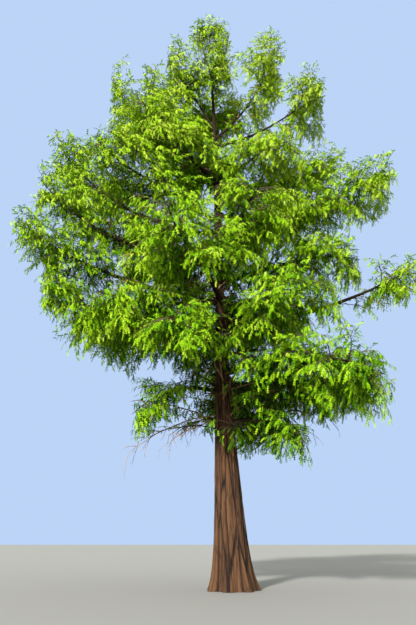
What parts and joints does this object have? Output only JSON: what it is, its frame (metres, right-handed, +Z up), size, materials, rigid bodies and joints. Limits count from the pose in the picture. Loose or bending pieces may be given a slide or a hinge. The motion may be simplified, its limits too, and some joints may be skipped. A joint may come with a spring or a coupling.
{
  "type": "dawn redwood tree",
  "caption": "Whole conifer with a fluted, tapering trunk, long upswept boughs and a broad crown of feathery, drooping green sprays in separate masses.",
  "frame": {"origin": "middle of the flat cut under the trunk, at ground level", "axes": "+Z up along the trunk; +X to the right and -Y towards the viewer in the picture's view"},
  "size_m": [14.1992, 12.105, 21.9888],
  "materials": {
    "bark": "rough, fibrous and fluted",
    "bough_bark": "rough",
    "foliage": "matt"
  },
  "bodies": {
    "root": {"bough_high_left": "bough_bark", "bough_high_right": "bough_bark", "bough_high_right_steep": "bough_bark", "bough_lower_back": "bough_bark", "bough_lower_left": "bough_bark", "bough_lower_right": "bough_bark", "bough_lower_right_front": "bough_bark", "bough_lowest_back": "bough_bark", "bough_lowest_left": "bough_bark", "bough_lowest_right": "bough_bark", "bough_middle_back_right": "bough_bark", "bough_middle_front": "bough_bark", "bough_middle_front_right": "bough_bark", "bough_middle_left_long": "bough_bark", "bough_middle_left_low": "bough_bark", "bough_middle_left_steep": "bough_bark", "bough_middle_right_long": "bough_bark", "bough_top_left": "bough_bark", "bough_upper_back_left": "bough_bark", "bough_upper_front_left": "bough_bark", "bough_upper_left": "bough_bark", "bough_upper_right_long": "bough_bark", "foliage_high_back": "foliage", "foliage_high_front_left": "foliage", "foliage_high_front_right": "foliage", "foliage_high_left": "foliage", "foliage_high_left_steep": "foliage", "foliage_high_right": "foliage", "foliage_high_right_steep": "foliage", "foliage_leader": "foliage", "foliage_lower_back": "foliage", "foliage_lower_front": "foliage", "foliage_lower_left": "foliage", "foliage_lower_right": "foliage", "foliage_lower_right_front": "foliage", "foliage_lowest_back": "foliage", "foliage_lowest_front": "foliage", "foliage_lowest_left": "foliage", "foliage_lowest_right": "foliage", "foliage_middle_back_left": "foliage", "foliage_middle_back_right": "foliage", "foliage_middle_front": "foliage", "foliage_middle_front_right": "foliage", "foliage_middle_left_long": "foliage", "foliage_middle_left_low": "foliage", "foliage_middle_left_steep": "foliage", "foliage_middle_right": "foliage", "foliage_middle_right_long": "foliage", "foliage_top_back": "foliage", "foliage_top_front": "foliage", "foliage_top_left": "foliage", "foliage_top_right": "foliage", "foliage_upper_back_left": "foliage", "foliage_upper_back_right": "foliage", "foliage_upper_front_left": "foliage", "foliage_upper_front_right": "foliage", "foliage_upper_left": "foliage", "foliage_upper_right": "foliage", "foliage_upper_right_long": "foliage", "trunk": "bark"}
  },
  "joints": []
}
